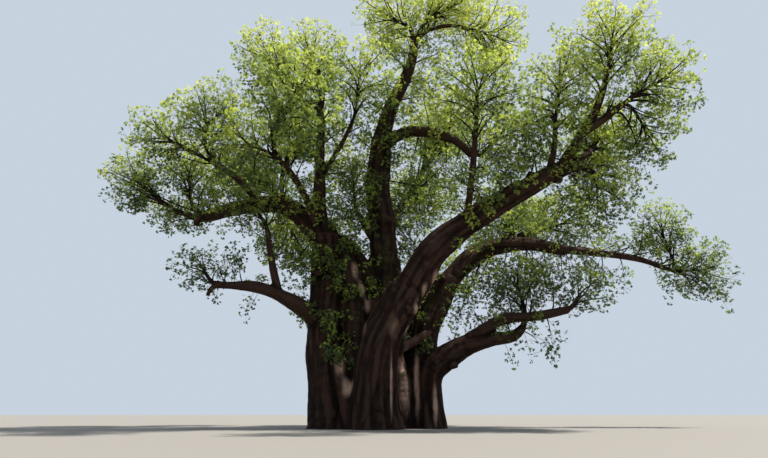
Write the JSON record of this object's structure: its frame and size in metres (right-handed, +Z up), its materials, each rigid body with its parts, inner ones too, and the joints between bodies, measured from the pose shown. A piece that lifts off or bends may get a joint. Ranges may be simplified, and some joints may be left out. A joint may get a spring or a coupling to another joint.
{
  "type": "baobab tree",
  "caption": "Whole old baobab in leaf: a trunk of fused stems, thick spreading boughs and a broad open crown.",
  "frame": {"origin": "ground level, in the middle of the trunk's foot", "axes": "+X to the viewer's right in the picture, +Y away from the viewer, +Z up"},
  "size_m": [34.0455, 19.5536, 25.495],
  "materials": {
    "bark": "rough, grey-brown to reddish, folded lengthwise",
    "leaves": "fresh leaf green, slightly glossy, on thin grey twigs"
  },
  "bodies": {
    "root": {"trunk": "bark", "bough_left_main": "bark", "bough_left_rising": "bark", "bough_left_front": "bark", "bough_upright": "bark", "bough_upright_fork": "bark", "bough_centre": "bark", "bough_top": "bark", "bough_top_side": "bark", "bough_centre_side": "bark", "bough_right_main": "bark", "bough_right_spur": "bark", "bough_right_rising": "bark", "bough_right_outer": "bark", "bough_far_right_inner": "bark", "bough_far_right_outer": "bark", "bough_low_right": "bark", "bough_low_right_fork": "bark", "bough_low_left": "bark", "bough_low_left_fork": "bark", "bough_back_left": "bark", "bough_inner_back": "bark", "bough_back_right": "bark", "bough_back_centre": "bark", "bough_front_right": "bark", "foliage_left_tip": "leaves", "foliage_left_belly": "leaves", "foliage_left_skirt": "leaves", "foliage_left_shoulder": "leaves", "foliage_left_brow": "leaves", "foliage_left_inner": "leaves", "foliage_left_back": "leaves", "foliage_left_under": "leaves", "foliage_upper_left_far": "leaves", "foliage_upper_left_top": "leaves", "foliage_upper_left_back": "leaves", "foliage_upper_middle": "leaves", "foliage_top_left": "leaves", "foliage_top_middle": "leaves", "foliage_top_right": "leaves", "foliage_front_left": "leaves", "foliage_front_right": "leaves", "foliage_middle_right": "leaves", "foliage_back_upper_right": "leaves", "foliage_right_crown_left": "leaves", "foliage_right_crown_top": "leaves", "foliage_right_crown_far": "leaves", "foliage_right_crown_low": "leaves", "foliage_right_crown_mid": "leaves", "foliage_right_droop": "leaves", "foliage_right_hang": "leaves", "foliage_back_right": "leaves", "foliage_far_right_top": "leaves", "foliage_far_right_tip": "leaves", "foliage_low_right_out": "leaves", "foliage_low_right_in": "leaves", "foliage_inner": "leaves", "foliage_back_centre": "leaves", "foliage_back_left": "leaves", "foliage_low_left_tip": "leaves"}
  },
  "joints": []
}
